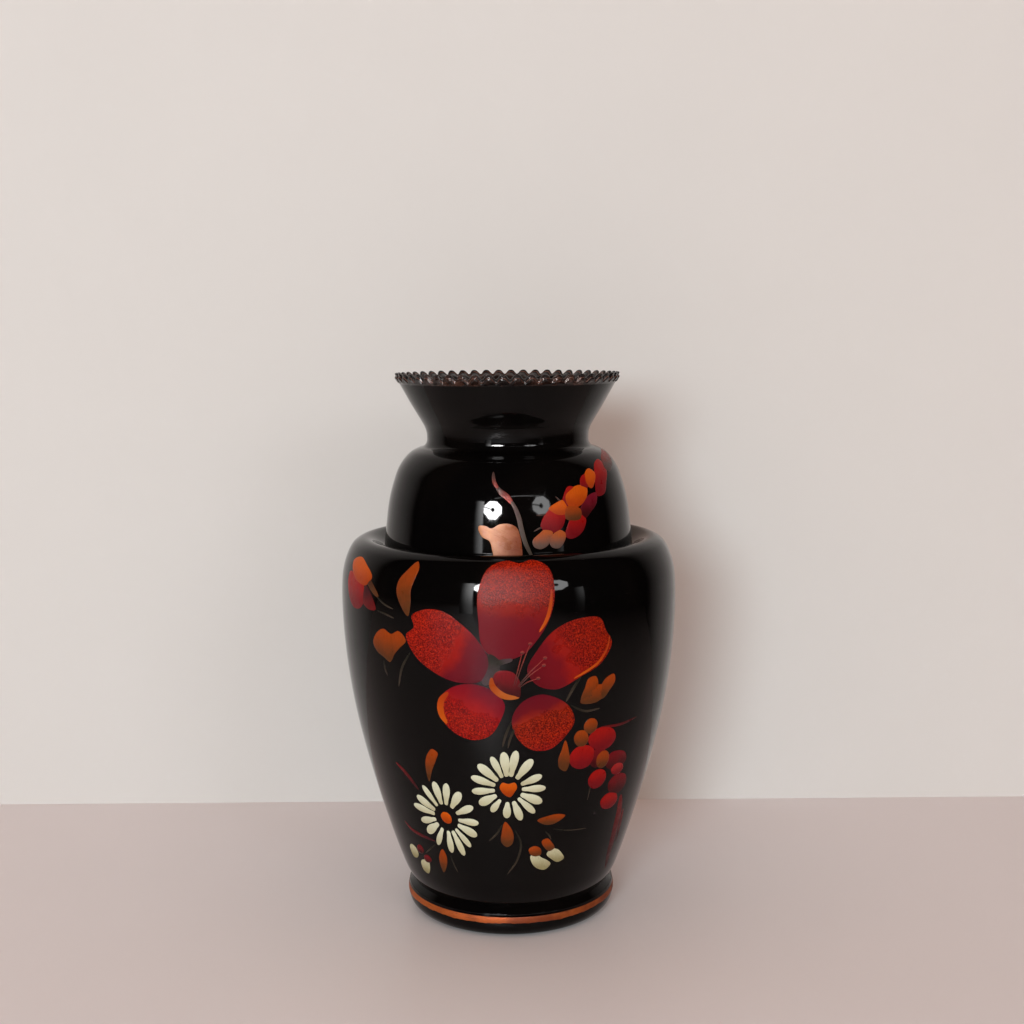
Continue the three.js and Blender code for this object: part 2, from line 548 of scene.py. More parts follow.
def onVase(sheet, lift, zone):
    # Wraps places on the flat sheet round the vase, and lifts them off the glaze.
    angle = sheet[..., 0] / (paintLook[zone + "Radius"] * millimetre)
    radius, height = (np.interp(sheet[..., 1], outsideAlong, outsideLine[:, axis]) for axis in range(2))
    out, up = (np.interp(sheet[..., 1], outsideAlong, outsideFacing[:, axis]) for axis in range(2))
    radius = radius + lift * out
    return np.stack([radius * np.sin(angle), -radius * np.cos(angle), height + lift * up], axis=-1)


def paintLift(layer):
    return (paintLook["depth"] + layer * paintLook["layerStep"]) * millimetre


def enamelPatches(name, outlines, material, slot, layer=0, zone="body", grain=None, steps=72, rows=12):
    # Each outline becomes a smooth closed loop, filled by shrinking it to its middle. The top is flat
    # with a rounded edge, and the underside lies just inside the glaze. The grain mark runs 0 to 1 from one
    # end of the patch to the other, along the grain line or else upwards.
    bedding = paintLook["bedding"] * millimetre
    grids = []
    marks = []
    for outline in outlines:
        loop = smoothLine(onSheet(outline, zone), steps, closed=True)
        area = np.sum(loop[:, 0] * np.roll(loop[:, 1], -1) - loop[:, 1] * np.roll(loop[:, 0], -1))
        if area < 0:
            loop = loop[::-1]
        middle = (loop.min(axis=0) + loop.max(axis=0)) / 2
        size = np.sin(np.linspace(0, np.pi / 2, rows))
        under = np.linspace(1, 0, 7)[1:]
        size = np.concatenate([size, under])[:, None, None]
        lift = -bedding + (paintLift(layer) + bedding) * np.sqrt(1 - size ** paintLook["edgeSharpness"])
        lift[rows:] = -bedding
        sheet = middle + size * (loop - middle)
        grids.append(onVase(sheet, lift[..., 0], zone))
        ends = onSheet(grain, zone) if grain else np.array([[middle[0], loop[:, 1].min()],
                                                           [middle[0], loop[:, 1].max()]])
        line = ends[1] - ends[0]
        length = np.linalg.norm(line)
        offset = sheet - ends[0]
        along = offset @ line / length**2
        across = (offset[..., 0] * line[1] - offset[..., 1] * line[0]) / length**2
        marks.append(np.stack([along, across + 0.5], axis=-1))
    piece = gridMesh(name, grids, poles=True, marks=marks)
    finishPiece(piece, material, slot)


def brushStrokes(name, strokes, material, slot, layer=0, zone="body", blunt=0.5, rows=40):
    # Each stroke is (width, path). A lens-shaped section follows the path and narrows to both tips: the
    # half-width is the full half-width times (4 t (1 - t)) to the power blunt.
    bedding = paintLook["bedding"] * millimetre
    grids = []
    marks = []
    for width, path in strokes:
        line = smoothLine(onSheet(path, zone), rows)
        run = np.gradient(line, axis=0)
        run /= np.linalg.norm(run, axis=1)[:, None]
        side = np.stack([run[:, 1], -run[:, 0]], axis=1)
        t = np.linspace(0, 1, rows)
        bulge = 4 * t * (1 - t)
        half = width / 2 * millimetre * bulge ** blunt
        around = fullTurn(paintLook["sectionSteps"])
        offset = half[:, None] * np.cos(around)
        sheet = line[:, None] + side[:, None] * offset[..., None]
        depth = np.where(np.sin(around) > 0, paintLift(layer), bedding) * np.sin(around)
        fade = np.minimum(1, bulge ** 0.5 * 1.6)[:, None]
        grids.append(onVase(sheet, depth * fade - paintLook["tipDepth"] * millimetre, zone))
        along = np.broadcast_to(t[:, None], offset.shape)
        across = 0.5 + 0.5 * np.broadcast_to(np.cos(around), offset.shape)
        marks.append(np.stack([along, across], axis=-1))
    piece = gridMesh(name, grids, poles=True, marks=marks)
    finishPiece(piece, material, slot)


def oval(across, height, halfWidth, halfHeight, tilt=0.0):
    # Eight knots of an ellipse, for a round dab of paint.
    turn = np.arange(8) * np.pi / 4
    lean = math.radians(tilt)
    x = halfWidth * np.cos(turn)
    z = halfHeight * np.sin(turn)
    return np.stack([across + x * math.cos(lean) - z * math.sin(lean),
                     height + x * math.sin(lean) + z * math.cos(lean)], axis=1)


tones = {
    "orange": paint(188, 78, 2),
    "deepOrange": paint(150, 52, 6),
    "burntOrange": paint(140, 54, 8),
    "crimson": paint(146, 14, 8),
    "deepCrimson": paint(104, 10, 18),
    "maroon": paint(54, 8, 11),
    "purple": paint(104, 12, 30),
    "cream": paint(206, 203, 178),
    "shadedCream": paint(184, 176, 144),
    "brown": paint(82, 44, 20),
    "darkBrown": paint(44, 24, 14),
    "stemGrey": paint(56, 46, 38),
    "stemDark": paint(30, 27, 20),
    "rose": paint(138, 50, 42),
    "mauve": paint(66, 47, 43),
    "peach": paint(176, 110, 68),
    "copper": paint(112, 48, 18),
    "haze": paint(70, 58, 60),
    "speck": paint(196, 60, 10),
    "stipple": paint(44, 2, 2),
}


def enamel(name, low, high, streak=0.35, shine=0.27, gloss=0.07):
    # Opaque brushed enamel: one colour at the start of the stroke and one at its end, clouded and
    # streaked, with a low relief left by the brush.
    material, tree, shader = startMaterial(name)
    place = objectPlace(tree)
    mark = grainMark(tree)
    along = axes(tree, mark)["X"]
    clouds = noise(tree, place, 180, 4, 0.6)
    hairs = noise(tree, stretched(tree, mark, (2, 26, 1)), 1.6, 4, 0.6)
    wander = calculate(tree, "MULTIPLY_ADD", clouds, 0.5, calculate(tree, "ADD", along, -0.25))
    tone = mixTones(tree, spread(tree, wander, 0.1, 0.9), low, high)
    thin = times(tree, spread(tree, hairs, 0.5, 0.72), streak)
    dark = tuple(0.3 * part for part in low[:3]) + (1.0,)
    setInputs(tree, shader, {"Base Color": mixTones(tree, thin, tone, dark), "Specular IOR Level": gloss,
                             "Roughness": spread(tree, clouds, 0.3, 0.7, shine, shine + 0.15)})
    relief = calculate(tree, "ADD", times(tree, hairs, 0.6), clouds)
    addBump(tree, shader, relief, 0.35, 0.00025)
    return material


def petalEnamel(name, stops, stippleStart):
    # Petal colours run from the base to the tip. Beyond stippleStart the paint is stippled: a fine
    # crackle of darker dots, with bright specks and a rough relief.
    material, tree, shader = startMaterial(name)
    place = objectPlace(tree)
    along = axes(tree, grainMark(tree))["X"]
    cloud = noise(tree, place, 90, 3)
    shifted = calculate(tree, "MULTIPLY_ADD", cloud, 0.36, calculate(tree, "ADD", along, -0.18))
    tone = toneRamp(tree, shifted, stops)
    grit = noise(tree, place, 1400, 3, 0.65)
    patch = noise(tree, place, 140, 2)
    start = calculate(tree, "MULTIPLY_ADD", patch, 0.5, calculate(tree, "ADD", along, -0.25))
    inPatch = spread(tree, start, stippleStart, stippleStart + 0.18)
    dots = times(tree, spread(tree, grit, 0.44, 0.58), inPatch)
    dark = mixTones(tree, 0.72, tone, tones["stipple"])
    tone = mixTones(tree, dots, tone, dark)
    bright = times(tree, spread(tree, grit, 0.42, 0.36), inPatch)
    tone = mixTones(tree, times(tree, bright, 0.35), tone, tones["speck"])
    setInputs(tree, shader, {"Base Color": tone, "Roughness": spread(tree, inPatch, 0, 1, 0.28, 0.25),
                             "Specular IOR Level": 0.08})
    relief = times(tree, grit, calculate(tree, "MULTIPLY_ADD", inPatch, 0.9, 0.08))
    addBump(tree, shader, relief, 0.7, 0.0004)
    return material


orangeEnamel = enamel("orangeEnamel", tones["deepOrange"], tones["orange"])
edgeEnamel = enamel("edgeEnamel", paint(158, 50, 6), paint(180, 76, 8), streak=0.2)
burntEnamel = enamel("burntOrangeEnamel", tones["brown"], tones["burntOrange"])
crimsonEnamel = enamel("crimsonEnamel", tones["deepCrimson"], tones["crimson"])
maroonEnamel = enamel("maroonEnamel", tones["maroon"], tones["deepCrimson"])
purpleEnamel = enamel("purpleEnamel", tones["maroon"], tones["purple"])
creamEnamel = enamel("creamEnamel", tones["shadedCream"], tones["cream"], streak=0.22, shine=0.4)
budEnamel = enamel("budEnamel", paint(142, 130, 92), tones["shadedCream"], streak=0.6, shine=0.4)
brownEnamel = enamel("brownEnamel", tones["darkBrown"], tones["brown"])
stemEnamel = enamel("stemEnamel", tones["stemDark"], tones["stemGrey"])
roseEnamel = enamel("roseEnamel", tones["mauve"], tones["rose"])
mauveEnamel = enamel("mauveEnamel", tones["mauve"], tones["stemGrey"])
peachEnamel = enamel("peachEnamel", tones["copper"], tones["peach"], streak=0.3, shine=0.2, gloss=0.12)
hazeEnamel = enamel("hazeEnamel", tones["stemDark"], tones["haze"])
fadingEnamel = enamel("fadingCrimsonEnamel", paint(96, 14, 16), paint(58, 16, 20), streak=0.7)
pinkEnamel = enamel("pinkEnamel", tones["deepCrimson"], paint(156, 34, 32))
greyOrangeEnamel = enamel("greyOrangeEnamel", paint(96, 72, 64), paint(160, 74, 26))
print("enamels mixed")


petals = {
    # Knots of each outline, and the grain line from the petal's base to its tip.
    "petalTop": {
        "outline": [(-4, 149), (-10.5, 153), (-13.5, 168), (-13.2, 184), (-9.5, 192), (0, 195), (5, 194),
                    (10.5, 195.2), (18, 192.6), (20.4, 182), (17.8, 168.5), (12, 158), (6, 151.5)],
        "grain": [(0, 149), (3.5, 195)],
        "stops": [(0.0, paint(95, 8, 22)), (0.38, paint(102, 11, 22)), (0.52, paint(124, 21, 13)),
                  (0.82, paint(138, 21, 7)), (1.0, paint(164, 29, 4))],
        "stippleStart": 0.42,
    },
    "petalUpperLeft": {
        "outline": [(-8.5, 145), (-13, 158), (-21, 166.5), (-30, 172), (-39, 171.8), (-45, 168.2),
                    (-44, 163), (-48.2, 159), (-45, 150.5), (-35, 142), (-22, 137.5), (-12, 139)],
        "grain": [(-10, 141), (-46, 163)],
        "stops": [(0.0, paint(78, 11, 25)), (0.32, paint(98, 11, 23)), (0.45, paint(138, 19, 13)),
                  (0.85, paint(149, 21, 7)), (1.0, paint(160, 26, 5))],
        "stippleStart": 0.40,
    },
    "petalUpperRight": {
        "outline": [(7.5, 143), (12.4, 154.7), (20, 163.5), (32, 168), (42, 166.8), (45, 160.5),
                    (48.2, 155), (43.7, 145.7), (32, 139), (20, 134), (12, 136.5)],
        "grain": [(8, 139), (47, 160)],
        "stops": [(0.0, paint(84, 6, 16)), (0.32, paint(102, 8, 18)), (0.45, paint(131, 16, 9)),
                  (0.85, paint(138, 22, 5)), (1.0, paint(149, 29, 4))],
        "stippleStart": 0.42,
    },
    "petalLowerLeft": {
        "outline": [(-2, 128), (-6.5, 134), (-16, 137.7), (-27, 135), (-33, 128.5), (-32.5, 119.5),
                    (-26.5, 112.5), (-17, 109.2), (-9.5, 111.5), (-4, 119.5)],
        "grain": [(-8, 137), (-24, 110)],
        "stops": [(0.0, paint(84, 6, 27)), (0.3, paint(120, 6, 20)), (0.5, paint(144, 13, 13)),
                  (0.8, paint(151, 21, 7)), (1.0, paint(144, 11, 11))],
        "stippleStart": 0.38,
    },
    "petalLowerRight": {
        "outline": [(14, 132.5), (6, 129.5), (0.8, 121), (3, 111), (10.5, 104.2), (19, 104),
                    (26, 109.4), (30.8, 118), (28, 125), (21, 130.5)],
        "grain": [(8, 132), (18, 104)],
        "stops": [(0.0, paint(84, 5, 20)), (0.3, paint(95, 10, 20)), (0.45, paint(131, 27, 7)),
                  (0.8, paint(142, 24, 5)), (1.0, paint(131, 10, 11))],
        "stippleStart": 0.34,
    },
}

for petalName, petal in petals.items():
    petalPaint = petalEnamel(petalName + "Enamel", petal["stops"], petal["stippleStart"])
    enamelPatches(petalName, [petal["outline"]], petalPaint, "red_enamel", layer=1,
                  grain=petal["grain"], steps=200, rows=34)

flowerHeart = [(-7.5, 140.5), (-5.7, 143.8), (-2, 144.4), (1.6, 143.4), (4.2, 140), (5, 135), (4.4, 131),
               (0.5, 131.6), (-4.6, 134.6)]
enamelPatches("flowerHeart", [flowerHeart], maroonEnamel, "red_enamel", layer=3)

petalEdges = [
    (2.0, [(18.8, 183), (18.1, 176), (16.2, 168.4), (12.4, 161.4)]),
    (1.7, [(46.6, 158), (45.6, 152.6), (41.4, 146), (34, 141.4), (27.6, 138.4)]),
    (4.2, [(-27.2, 133.2), (-31.2, 128), (-31.6, 121.6), (-29, 116.4)]),
]
brushStrokes("petalEdges", petalEdges, edgeEnamel, "orange_enamel", layer=2)
heartEdge = [(4.0, [(-8, 141.2), (-7.2, 136.6), (-3, 132.6), (4.4, 131)])]
heartEdgeEnamel = enamel("heartEdgeEnamel", paint(148, 58, 10), paint(168, 88, 34), streak=0.25)
brushStrokes("heartEdge", heartEdge, heartEdgeEnamel, "orange_enamel", layer=4, blunt=0.6)

centreHaze = [
    (6.5, [(-8, 153), (-7, 147.5), (-8.5, 142), (-11.5, 137)]),
    (3.0, [(-6, 147), (-2.6, 148.8), (1.5, 149.6)]),
]
brushStrokes("centreHaze", centreHaze, hazeEnamel, "green_enamel")

stamenTips = [(5.6, 153), (9, 157), (15.5, 150), (15, 146.5), (12.6, 140.3)]
stamens = [(0.55, [(1.5 + 0.6 * number, 135.5), ((2.5 + tip[0]) / 2 - 0.4, (136 + tip[1]) / 2), tip])
           for number, tip in enumerate(stamenTips)]
brushStrokes("stamens", stamens, roseEnamel, "red_enamel", layer=5)
enamelPatches("stamenHeads", [oval(*tip, 0.95, 0.75) for tip in stamenTips], roseEnamel, "red_enamel",
              layer=6, steps=24, rows=6)
print("large flower painted")


daisies = {
    "daisyRight": {
        "middle": (-1, 84),
        "petals": [(79, 21), (96, 20), (115, 19.2), (139, 19.8), (162, 19.9), (185, 19.2), (208, 17.8),
                   (233, 15.5), (266, 15.8), (292, 18.4), (317, 19.6), (337, 19.5), (0, 19.4), (22, 18.4),
                   (53, 19.8)],
        "innerReach": 6.8,
        "centre": [(-5.4, 85.4), (-4, 87.6), (-1, 87), (2.4, 87.6), (3.5, 85.4), (2.2, 82.4), (-0.2, 79.8),
                   (-2.6, 80.8), (-4.6, 83)],
    },
    "daisyLeft": {
        "middle": (-37, 66),
        "petals": [(80, 19.7), (102, 19.8), (127, 20), (153, 20.1), (171, 22.3), (194, 19.5), (214, 19.4),
                   (239, 19.7), (268, 20), (291, 22), (311, 19.9), (335, 19.5), (357, 19.4), (25, 18.8),
                   (55, 18.7)],
        "innerReach": 7.2,
        "centre": [(-40.4, 66.6), (-38.4, 69), (-35.4, 68.8), (-33.7, 66.4), (-34.4, 63.6), (-37, 62.8),
                   (-39.4, 64)],
    },
}


def daisyPetal(middle, bearing, reach, innerReach, number):
    # A spindle: narrow at the middle of the daisy, fullest past its own middle, and rounded at its end.
    fullness = 2.05 + 0.3 * math.sin(2.4 * number)
    share = np.array([0.0, 0.25, 0.55, 0.8, 0.95, 1.0])
    half = fullness * np.array([0.26, 0.66, 1.0, 0.92, 0.52, 0.0])
    distance = innerReach + (reach - innerReach) * share
    side = np.concatenate([half, -half[-2::-1]])
    out = np.concatenate([distance, distance[-2::-1]])
    turn = math.radians(bearing)
    return np.stack([middle[0] + out * math.cos(turn) - side * math.sin(turn),
                     middle[1] + out * math.sin(turn) + side * math.cos(turn)], axis=1)


for daisyName, daisy in daisies.items():
    outlines = [daisyPetal(daisy["middle"], bearing, reach, daisy["innerReach"], number)
                for number, (bearing, reach) in enumerate(daisy["petals"])]
    enamelPatches(daisyName + "Petals", outlines, creamEnamel, "cream_enamel", layer=1, steps=48, rows=10)
    enamelPatches(daisyName + "Centre", [daisy["centre"]], orangeEnamel, "orange_enamel", layer=3)
print("daisies painted")


brushStrokes("bodyStems", [
    (1.3, [(1, 120), (-2, 112), (-3.6, 106)]),
    (1.2, [(3.5, 118), (0, 110), (-1, 105.5)]),
    (1.2, [(-4.6, 64.5), (-8, 59.4), (-12.6, 55.3)]),
    (1.4, [(2.5, 62), (6, 54), (4, 44.6), (-2.5, 36)]),
    (1.5, [(32.7, 139.7), (29.3, 134.6), (25.6, 127.6)]),
    (1.3, [(27.8, 126), (35.6, 122), (43.7, 122.3)]),
    (1.0, [(-66.7, 175), (-61, 171.7), (-55, 170)]),
    (1.0, [(-65.8, 168), (-60, 167), (-54.5, 165.7)]),
    (1.1, [(-62.7, 144), (-62.5, 140), (-61, 136.5)]),
    (1.3, [(-46, 150.4), (-51.4, 142), (-54.5, 132)]),
    (1.0, [(-39, 44.6), (-38, 40), (-36, 35)]),
    (1.0, [(-49, 49), (-55, 45), (-60, 42)]),
    (0.8, [(24, 61), (34, 59), (47, 58)]),
    (0.8, [(43, 88), (44, 80), (43.5, 74)]),
    (0.9, [(20, 60), (22.5, 57.5), (24, 55)]),
], stemEnamel, "green_enamel")
brushStrokes("crimsonStrokes", [
    (2.4, [(-66, 91), (-60, 87), (-52, 78.5)]),
    (2.2, [(-73, 57.5), (-68, 54), (-61, 52.5), (-48, 51)]),
    (1.5, [(45, 112.4), (57.4, 111.6), (70, 113)]),
    (6.5, [(70, 72), (73, 63), (75, 50), (77, 37), (80, 27)]),
    (3.0, [(78, 62), (80, 52), (82, 42)]),
], fadingEnamel, "red_enamel")
brushStrokes("sideBrownLeaves", [
    (3.6, [(-79, 184.5), (-74, 181.5), (-69, 177.5), (-65, 174.5)]),
], brownEnamel, "brown_enamel", blunt=0.4)

# Each entry is (paint, slot, layer, outlines), with outlines as (across, height) in millimetres.
bodyDabs = {
    "variegatedLeaves": (burntEnamel, "orange_enamel", 0, [
        [(-38.6, 103), (-36.2, 101.4), (-37.6, 97.4), (-40.8, 91.4), (-44, 84.5), (-44.8, 92),
         (-42.6, 99.4)],
        [(-43.8, 47.4), (-42.2, 44), (-43, 39), (-48, 33), (-49.2, 38), (-48, 43)],
        [(31, 68), (27.6, 69), (20.8, 68.6), (14.6, 66.4), (18.3, 64), (25, 63.8)],
        [(26.5, 108.4), (29, 102), (30, 97), (28, 91.6), (24.6, 93.6), (23.6, 98.4), (25, 103.4)],
    ]),
    "fallingDrop": (burntEnamel, "orange_enamel", 1, [
        [(-2.6, 66.4), (-0.4, 64), (1.8, 58.4), (0.8, 53.6), (-2.1, 52), (-5.3, 54.4), (-5.2, 59.8)],
    ]),
    "budWhites": (budEnamel, "cream_enamel", 1, [
        [(12, 46.8), (13.4, 42), (17.8, 38.6), (22.6, 38), (25.6, 41), (22.6, 43.6), (19.6, 45),
         (15.4, 47.4)],
        [(22, 47), (25.4, 43.8), (30.6, 41.4), (34.4, 43), (32, 46.6), (28.6, 49.2), (25, 49.8)],
        [(-77, 41.6), (-73, 44.2), (-69, 43), (-68, 40), (-71, 36.8), (-76, 36.4)],
        [(-68.4, 35), (-63, 37.6), (-59, 37), (-59.8, 33.4), (-64.5, 29), (-68.6, 30.6)],
    ]),
    "budCaps": (burntEnamel, "brown_enamel", 2, [
        [(10.8, 50.6), (14, 52.2), (18, 50.4), (18.6, 47), (15.4, 45.8), (12, 47.4)],
        [(18.4, 54.8), (21.5, 56), (24.5, 53.6), (26.8, 49.6), (24.4, 48.2), (20.6, 50.4)],
    ]),
    "sideBudCaps": (maroonEnamel, "brown_enamel", 2, [
        [(-67, 44.4), (-62.6, 45.8), (-61, 43.2), (-64.9, 40.4), (-67.9, 41.2)],
        [(-62.9, 39.2), (-58.1, 41), (-55.8, 39), (-59.2, 36.4), (-62.8, 36.6)],
    ]),
    "darkBerries": (maroonEnamel, "red_enamel", 0, [
        oval(59, 92.6, 8.6, 5.2, -10),
        oval(64.4, 78.8, 8.4, 5.8, -12),
        oval(46, 96.4, 5.4, 5.4),
    ]),
    "crimsonBerries": (crimsonEnamel, "red_enamel", 1, [
        oval(47.2, 106.2, 8.8, 6.1, -10),
        oval(36.6, 98.2, 7.4, 6.4, -8),
        oval(47.8, 84.8, 6, 5.3, -8),
        oval(60.4, 70.4, 7.4, 4.6, -10),
    ]),
    "pinkBerry": (pinkEnamel, "red_enamel", 2, [oval(61.2, 87.6, 5.0, 3.2, -10)]),
    "orangeBerries": (burntEnamel, "orange_enamel", 3, [
        oval(39.4, 113.9, 3.8, 4.0, 10),
        oval(34.9, 108.1, 3.8, 4.6, 30),
        oval(49.2, 95, 4.2, 4.8, 15),
    ]),
    "lobedBud": (burntEnamel, "orange_enamel", 1, [
        [(32.8, 126.4), (38, 125.2), (45.4, 128), (46.8, 133), (42, 134.6), (36, 132.4)],
        [(33.2, 127.2), (34.6, 133.5), (36.6, 138.4), (39.8, 139), (41.8, 133.5), (40.8, 129.5),
         (37.8, 126.2)],
        [(41.2, 127.4), (42.7, 132.5), (45.5, 137), (50.4, 138.5), (51.2, 135.2), (48.6, 131),
         (44.4, 126.8)],
    ]),
    "sideOrangePetal": (orangeEnamel, "orange_enamel", 1, [
        [(-95, 188), (-87.3, 191), (-78.5, 188.4), (-71, 182.6), (-74.7, 178.8), (-82.2, 178.6),
         (-90, 182)],
    ]),
    "sideCrimsonPetal": (crimsonEnamel, "red_enamel", 0, [
        [(-96, 182.5), (-85.2, 182), (-77.1, 179), (-75, 173), (-79.9, 166.6), (-87.8, 166), (-94, 171),
         (-96.5, 176.7)],
    ]),
    "sideTornPetal": (fadingEnamel, "red_enamel", 0, [
        [(-75.5, 179), (-69.5, 174), (-66.8, 168), (-72.5, 167.4), (-78, 170.5)],
    ]),
    "curvedLeaf": (burntEnamel, "orange_enamel", 1, [
        [(-44.2, 193.2), (-49.4, 188.8), (-53, 184), (-53.6, 178.5), (-51.7, 173.6), (-46.6, 167.4),
         (-45.2, 173.9), (-45.4, 180), (-43.8, 186), (-42.8, 190.4)],
    ]),
    "threeLobedLeaf": (burntEnamel, "orange_enamel", 1, [
        [(-67.8, 156), (-61.4, 159.8), (-57, 158), (-52, 160), (-48, 155.6), (-51.5, 152), (-55, 148.4),
         (-58.8, 143.6), (-62.6, 145.4), (-67.3, 147.6), (-70, 151.4)],
    ]),
}

for dabName, (dabPaint, dabSlot, dabLayer, dabOutlines) in bodyDabs.items():
    enamelPatches(dabName, dabOutlines, dabPaint, dabSlot, dabLayer)
print("body sprays painted")


enamelPatches("peachLeaf", [
    [(-14.2, 208.8), (-11.2, 209), (-8.4, 207.8), (-4, 209.8), (1, 209.8), (4, 208.2), (5.6, 204.6),
     (6.4, 199), (6, 193), (0.8, 190.5), (-5.6, 191), (-7.6, 197), (-9, 201.6), (-12.8, 203.8)],
], peachEnamel, "orange_enamel", layer=1, zone="tier", grain=[(6, 196), (-12, 204)], steps=140, rows=20)
brushStrokes("tierStemTop", [
    (2.0, [(-7.9, 234), (-7.1, 229.2), (-4.2, 225.2)]),
    (3.0, [(-6.2, 227.6), (-3.6, 224.6), (-0.4, 222.2), (2.4, 218.6)]),
], roseEnamel, "red_enamel", layer=2, zone="tier")
brushStrokes("tierStem", [
    (2.4, [(-1.4, 223), (2.4, 218.8), (4.9, 213), (6.2, 206.8), (7.8, 201), (11.4, 193)]),
], mauveEnamel, "brown_enamel", layer=2, zone="tier", blunt=0.35)
brushStrokes("tierTwigs", [
    (0.9, [(12, 206), (15, 207.4), (18, 208)]),
    (0.9, [(13.5, 213.5), (16, 213.6), (19, 214)]),
    (0.9, [(24, 222), (26.5, 219.6), (28.6, 217)]),
], mauveEnamel, "brown_enamel", layer=0, zone="tier")

tierDabs = {
    "tierCrimsonFlorets": (crimsonEnamel, "red_enamel", 1, [
        [(15.4, 207.6), (16.6, 212.2), (20, 216), (25, 218.6), (29.4, 216.6), (28.6, 211.5), (26.4, 207),
         (22.1, 204.6), (18, 205.2)],
        [(27.8, 202.6), (29, 207.6), (32, 212), (37, 213.4), (40.2, 211), (38.9, 205.8), (33.7, 201.9),
         (30, 201.4)],
        [(27.6, 217.6), (29, 223), (32.2, 226.4), (36, 225.6), (33, 220), (30, 216.6)],
        [(40.6, 229.4), (44.9, 231.4), (46, 226.5), (43, 224.2), (40, 225.4)],
    ]),
    "tierPurplePetals": (purpleEnamel, "red_enamel", 1, [
        [(36.8, 213.4), (39, 217.9), (43.4, 221.2), (50.3, 222), (49, 217.6), (44.4, 213.6),
         (39.4, 210.6)],
    ]),
    "tierOrangePetals": (orangeEnamel, "orange_enamel", 2, [
        [(19.8, 216.2), (24, 219), (28.4, 220), (30, 217.2), (28.4, 213), (24.2, 213)],
        [(28.8, 222), (32.9, 225), (39.6, 226.6), (44, 225.2), (42.8, 220.8), (37.7, 216.8),
         (32.6, 215.8), (29, 218)],
        [(44.2, 230.8), (50, 233.8), (53, 231.6), (51, 227.4), (47, 224.4), (43.8, 226.6)],
    ]),
    "tierBrownOvals": (burntEnamel, "brown_enamel", 3, [
        [(28.8, 216.6), (33.3, 217.2), (38, 214.6), (37.2, 210.6), (32.6, 209.8), (28.4, 211.3)],
    ]),
    "tierRedPetal": (crimsonEnamel, "red_enamel", 1, [
        [(50, 220.4), (51.2, 228.4), (56.8, 236), (64.8, 237.2), (66, 232.8), (61.4, 226.8), (56.4, 221)],
    ]),
    "tierRoseTips": (roseEnamel, "red_enamel", 2, [
        [(63, 232.6), (68, 237.6), (76, 239.6), (90, 240.4), (86, 236.6), (76, 233), (68, 231)],
    ]),
    "tierGreyPetals": (greyOrangeEnamel, "orange_enamel", 1, [
        [(11.2, 201), (15, 205.2), (17.5, 207), (21.6, 206.6), (20.8, 202.6), (18.4, 198.8),
         (14.3, 197.4), (11.8, 198.8)],
        [(19.4, 201.2), (22, 204.8), (25.1, 206.2), (28.2, 204.2), (27.2, 200.4), (24.2, 197.4),
         (20.4, 198.2)],
    ]),
}

for dabName, (dabPaint, dabSlot, dabLayer, dabOutlines) in tierDabs.items():
    enamelPatches(dabName, dabOutlines, dabPaint, dabSlot, dabLayer, zone="tier")
print("tier spray painted")


stageLook = {
    "wallBehind": 0.158,     # metres from the vase's axis to the wall
    "reach": 3,              # metres from the axis to the edges of the table and the wall
    "tableTop": -0.0001,     # just below the foot, so that the two don't touch
    "wall": paint(220, 215, 213),
    "table": paint(232, 224, 226),
    "tableLeft": (0.15, 2.4),      # metres to each side over which painted shade darkens the sheets, in reflections only
    "tableRight": (0.12, 1.1),
    "wallLeft": (0.2, 1.3),
    "wallRight": (0.15, 0.8),
}


def flatSheet(name, corners, material):
    mesh = bpy.data.meshes.new(name)
    mesh.from_pydata(corners, [], [tuple(range(len(corners)))])
    sheet = bpy.data.objects.new(name, mesh)
    bpy.context.scene.collection.objects.link(sheet)
    mesh.materials.append(material)
    return sheet


def stageMaterial(sheet, roughness, gloss, oneSided=False):
    # Matt paint with a faint mottling. Where the glaze mirrors it, the sheet is painted dark far out to the
    # sides:
    # painted shade seen only in reflections, for a room that is dark there. A one-sided sheet can be looked
    # through from behind.
    material, tree, shader = startMaterial(sheet + "Paint")
    tone = stageLook[sheet]
    place = objectPlace(tree)
    mottle = noise(tree, place, 9, 3)
    shade = tuple(0.97 * part for part in tone[:3]) + (1.0,)
    painted = mixTones(tree, mottle, tone, shade)
    aside = axes(tree, place)["X"]
    leftward = times(tree, aside, -1.0)
    far = calculate(tree, "MAXIMUM", spread(tree, leftward, *stageLook[sheet + "Left"]),
                    spread(tree, aside, *stageLook[sheet + "Right"]))
    mirrored = addNode(tree, "ShaderNodeLightPath", {}).outputs["Is Glossy Ray"]
    # painted shade: far to the sides the sheet turns black, in reflections only
    dark = times(tree, far, mirrored)
    setInputs(tree, shader, {"Base Color": mixTones(tree, dark, painted, (0.0, 0.0, 0.0, 1.0)),
                             "Roughness": roughness, "Specular IOR Level": gloss})
    if oneSided:
        back = addNode(tree, "ShaderNodeNewGeometry", {}).outputs["Backfacing"]
        clear = addNode(tree, "ShaderNodeBsdfTransparent", {})
        both = addNode(tree, "ShaderNodeMixShader", {0: back, 1: shader.outputs[0], 2: clear.outputs[0]})
        tree.links.new(both.outputs[0], tree.nodes["Material Output"].inputs["Surface"])
    return material


wallY = stageLook["wallBehind"]
reach = stageLook["reach"]
level = stageLook["tableTop"]
flatSheet("table", [(-reach, -reach, level), (reach, -reach, level), (reach, reach, level),
                    (-reach, reach, level)], stageMaterial("table", 0.4, 0.4))
flatSheet("wall", [(-reach, wallY, level), (reach, wallY, level), (reach, wallY, reach),
                   (-reach, wallY, reach)], stageMaterial("wall", 0.8, 0.0, oneSided=True))


